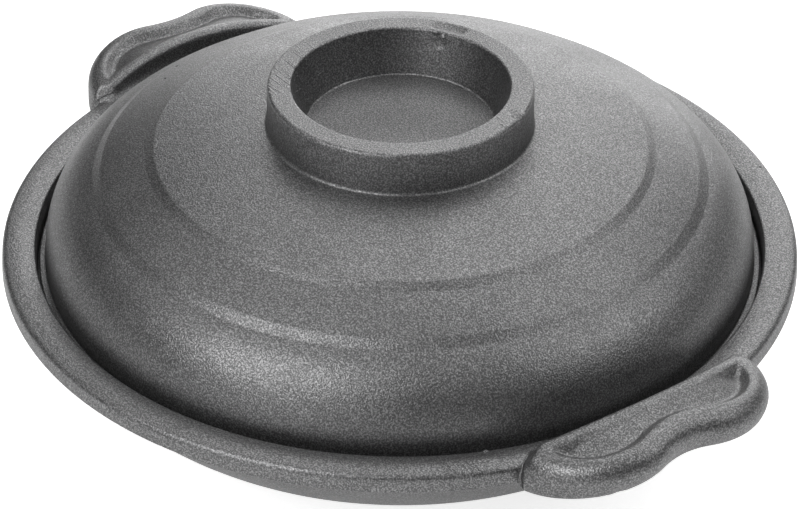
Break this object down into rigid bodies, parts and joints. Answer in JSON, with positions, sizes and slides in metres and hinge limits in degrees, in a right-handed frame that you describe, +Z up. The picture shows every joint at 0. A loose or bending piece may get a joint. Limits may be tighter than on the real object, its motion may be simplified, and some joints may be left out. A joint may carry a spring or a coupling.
{
  "type": "lidded stew pot",
  "caption": "Shallow round stew pot with lobed side lugs cast with its rim, and a stepped domed lid with an open ring knob resting on a ledge inside the rim.",
  "frame": {"origin": "centre of the pot's flat base, on the surface it stands on", "axes": "+Z up, +X through the middle of one lug, +Y along the rim between the lugs"},
  "size_m": [0.2342, 0.2048, 0.0809],
  "materials": {
    "pot": "matte charcoal, fine grain",
    "lid": "matte charcoal, fine grain"
  },
  "bodies": {
    "root": {"pot": "pot", "lid": "lid"}
  },
  "joints": []
}
